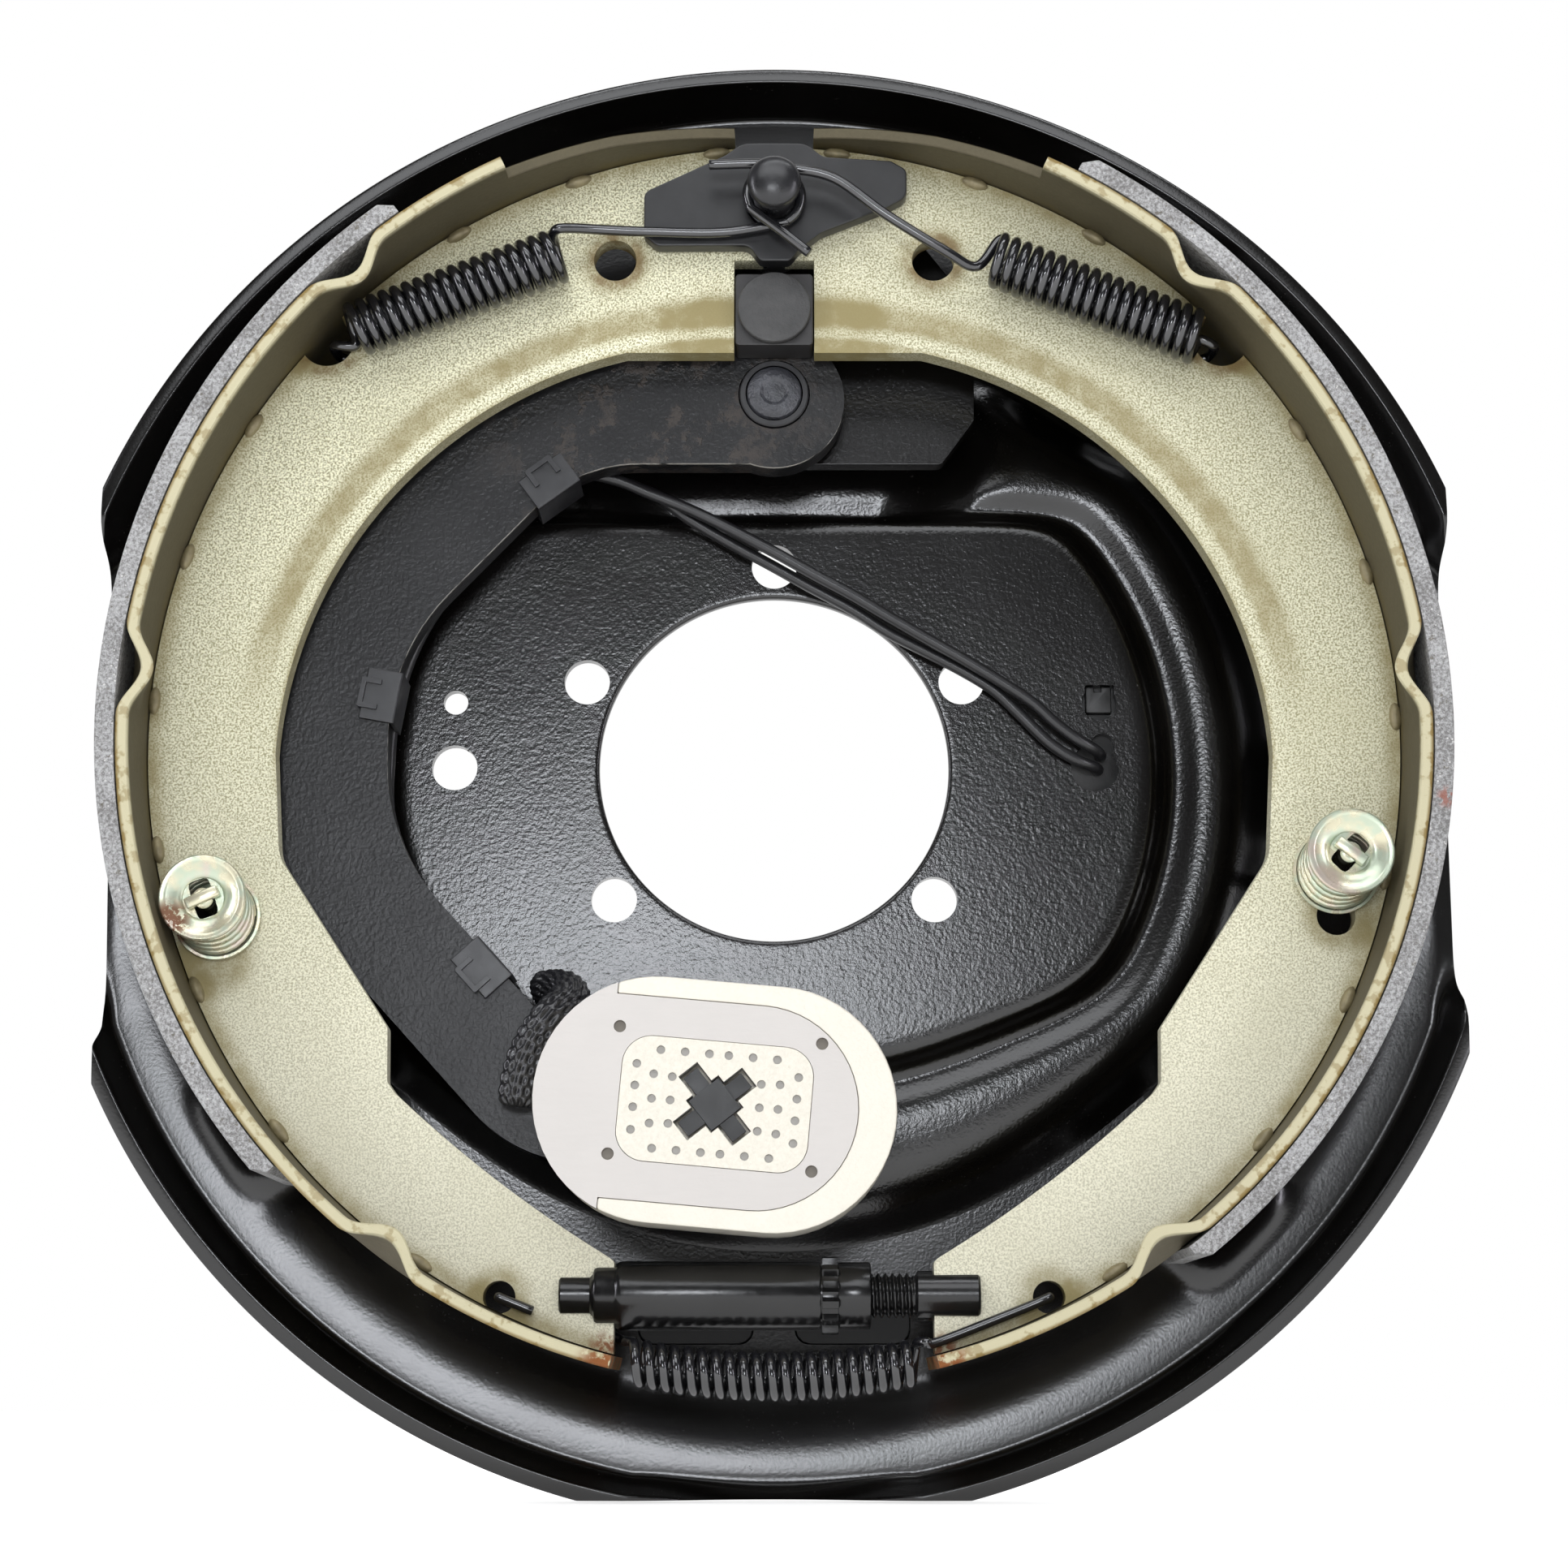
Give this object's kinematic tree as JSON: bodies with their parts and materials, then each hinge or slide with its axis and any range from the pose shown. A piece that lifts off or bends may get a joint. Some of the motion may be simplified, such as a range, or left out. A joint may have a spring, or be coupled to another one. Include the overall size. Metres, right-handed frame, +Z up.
{
  "type": "electric trailer drum brake",
  "caption": "Electric drum brake for a trailer axle: pressed backing plate carrying two lined shoes, a magnet on a swinging lever, coil springs and a star wheel adjuster, without its drum.",
  "frame": {"origin": "middle of the footprint, on the level of the plate's bottom flat, with the plate upright as it is bolted to the axle", "axes": "+Z up, -Y towards the wheel (the side seen in the picture), +X to the right seen from the wheel side"},
  "size_m": [0.323, 0.0784, 0.3449],
  "materials": {
    "backing_plate": "semi-gloss black paint on pressed steel",
    "anchor_bracket": "semi-gloss black paint",
    "anchor_post": "satin black steel",
    "guide_plate": "satin black steel",
    "lever_pivot_pin": "satin black steel, staked end",
    "lever_bushing": "satin black steel",
    "adjuster_socket": "glossy black steel",
    "primary_return_spring": "black coated spring wire",
    "secondary_return_spring": "black coated spring wire",
    "adjuster_spring": "black coated spring wire",
    "primary_holddown_pin": "yellow zinc plate",
    "primary_holddown_spring": "yellow zinc plate",
    "primary_holddown_seat": "yellow zinc plate",
    "secondary_holddown_pin": "yellow zinc plate",
    "secondary_holddown_spring": "yellow zinc plate",
    "secondary_holddown_seat": "yellow zinc plate",
    "lead_clip": "black moulded plastic",
    "lead_wire_a": "black insulated lead",
    "lead_wire_b": "black insulated lead",
    "lead_tail_a": "black insulated lead",
    "lead_tail_b": "black insulated lead",
    "slot_plug_left": "black rubber",
    "slot_plug_right": "black rubber",
    "lever_arm": "semi-gloss black paint",
    "cam_pin": "satin black steel",
    "magnet_post": "satin black steel",
    "magnet_spring": "black spring wire",
    "magnet_retainer": "black moulded plastic",
    "arm_clip_top": "satin black steel strap",
    "arm_clip_side": "satin black steel strap",
    "arm_clip_low": "satin black steel strap",
    "arm_lead_a": "black insulated lead",
    "arm_lead_b": "black insulated lead",
    "magnet_sleeve": "black braided sleeve",
    "cam_block": "satin black steel",
    "magnet_shell": "cream steel, ground face",
    "magnet_face": "grey friction compound",
    "magnet_core": "cream steel, ground face",
    "primary_web": "yellow zinc over rough steel",
    "primary_table": "yellow zinc over rough steel",
    "primary_lining": "grey brake lining",
    "secondary_web": "yellow zinc over rough steel",
    "secondary_table": "yellow zinc over rough steel",
    "secondary_lining": "grey brake lining",
    "star_wheel": "glossy black steel",
    "adjuster_screw": "glossy black steel",
    "primary_holddown_cup": "yellow zinc plate",
    "secondary_holddown_cup": "yellow zinc plate"
  },
  "bodies": {
    "plate": {"backing_plate": "backing_plate", "anchor_bracket": "anchor_bracket", "anchor_post": "anchor_post", "guide_plate": "guide_plate", "lever_pivot_pin": "lever_pivot_pin", "lever_bushing": "lever_bushing", "adjuster_socket": "adjuster_socket", "primary_return_spring": "primary_return_spring", "secondary_return_spring": "secondary_return_spring", "adjuster_spring": "adjuster_spring", "primary_holddown_pin": "primary_holddown_pin", "primary_holddown_spring": "primary_holddown_spring", "primary_holddown_seat": "primary_holddown_seat", "secondary_holddown_pin": "secondary_holddown_pin", "secondary_holddown_spring": "secondary_holddown_spring", "secondary_holddown_seat": "secondary_holddown_seat", "lead_clip": "lead_clip", "lead_wire_a": "lead_wire_a", "lead_wire_b": "lead_wire_b", "lead_tail_a": "lead_tail_a", "lead_tail_b": "lead_tail_b", "slot_plug_left": "slot_plug_left", "slot_plug_right": "slot_plug_right"},
    "lever": {"lever_arm": "lever_arm", "cam_pin": "cam_pin", "magnet_post": "magnet_post", "magnet_spring": "magnet_spring", "magnet_retainer": "magnet_retainer", "arm_clip_top": "arm_clip_top", "arm_clip_side": "arm_clip_side", "arm_clip_low": "arm_clip_low", "arm_lead_a": "arm_lead_a", "arm_lead_b": "arm_lead_b", "magnet_sleeve": "magnet_sleeve"},
    "cam": {"cam_block": "cam_block"},
    "magnet": {"magnet_shell": "magnet_shell", "magnet_face": "magnet_face", "magnet_core": "magnet_core"},
    "primary_shoe": {"primary_web": "primary_web", "primary_table": "primary_table", "primary_lining": "primary_lining"},
    "secondary_shoe": {"secondary_web": "secondary_web", "secondary_table": "secondary_table", "secondary_lining": "secondary_lining"},
    "star": {"star_wheel": "star_wheel"},
    "screw": {"adjuster_screw": "adjuster_screw"},
    "primary_cup": {"primary_holddown_cup": "primary_holddown_cup"},
    "secondary_cup": {"secondary_holddown_cup": "secondary_holddown_cup"}
  },
  "joints": [
    {"name": "lever_swing", "type": "hinge", "parent": "plate", "child": "lever", "pos_m": [0, 0.00125, 0.2561], "axis": [0, -1, 0], "range_deg": [0, 5], "deforming": ["lead_wire_a", "lead_wire_b"]},
    {"name": "cam_block_turn", "type": "hinge", "parent": "lever", "child": "cam", "pos_m": [0, -0.00805, 0.2736], "axis": [0, -1, 0], "range_deg": [-5, 0.5]},
    {"name": "magnet_slide", "type": "slide", "parent": "lever", "child": "magnet", "axis": [0, 1, 0], "range_m": [0, 0.004], "stiffness_N_per_m": 400, "springref_m": -0.004, "deforming": ["magnet_spring"]},
    {"name": "primary_shoe_swing", "type": "hinge", "parent": "plate", "child": "primary_shoe", "pos_m": [-0.0416, -0.00905, 0.0451], "axis": [0, -1, 0], "range_deg": [-0.01, 0.4], "deforming": ["primary_return_spring"]},
    {"name": "star_wheel_turn", "type": "hinge", "parent": "plate", "child": "star", "pos_m": [0.012, -0.00905, 0.0451], "axis": [1, 0, 0], "range_deg": [-0.5, 680.5]},
    {"name": "adjuster_screw_slide", "type": "slide", "parent": "plate", "child": "screw", "axis": [1, 0, 0], "range_m": [0, 0.003]},
    {"name": "secondary_shoe_swing", "type": "hinge", "parent": "plate", "child": "secondary_shoe", "pos_m": [0, -0.00905, 0.2987], "axis": [0, -1, 0], "range_deg": [-0.01, 0.7], "deforming": ["secondary_return_spring", "adjuster_spring"]},
    {"name": "primary_holddown_press", "type": "slide", "parent": "plate", "child": "primary_cup", "axis": [0, 1, 0], "range_m": [0, 0.003], "stiffness_N_per_m": 600, "springref_m": -0.004, "deforming": ["primary_holddown_spring"]},
    {"name": "secondary_holddown_press", "type": "slide", "parent": "plate", "child": "secondary_cup", "axis": [0, 1, 0], "range_m": [0, 0.003], "stiffness_N_per_m": 600, "springref_m": -0.004, "deforming": ["secondary_holddown_spring"]}
  ],
  "couplings": [
    {"joint": "cam_block_turn", "follows": "lever_swing", "ratio": -0.9234},
    {"joint": "primary_shoe_swing", "follows": "lever_swing", "ratio": 0.0766},
    {"joint": "star_wheel_turn", "follows": "adjuster_screw_slide", "rad_per_m": 3956.1},
    {"joint": "secondary_shoe_swing", "follows": "adjuster_screw_slide", "rad_per_m": 3.9432}
  ]
}
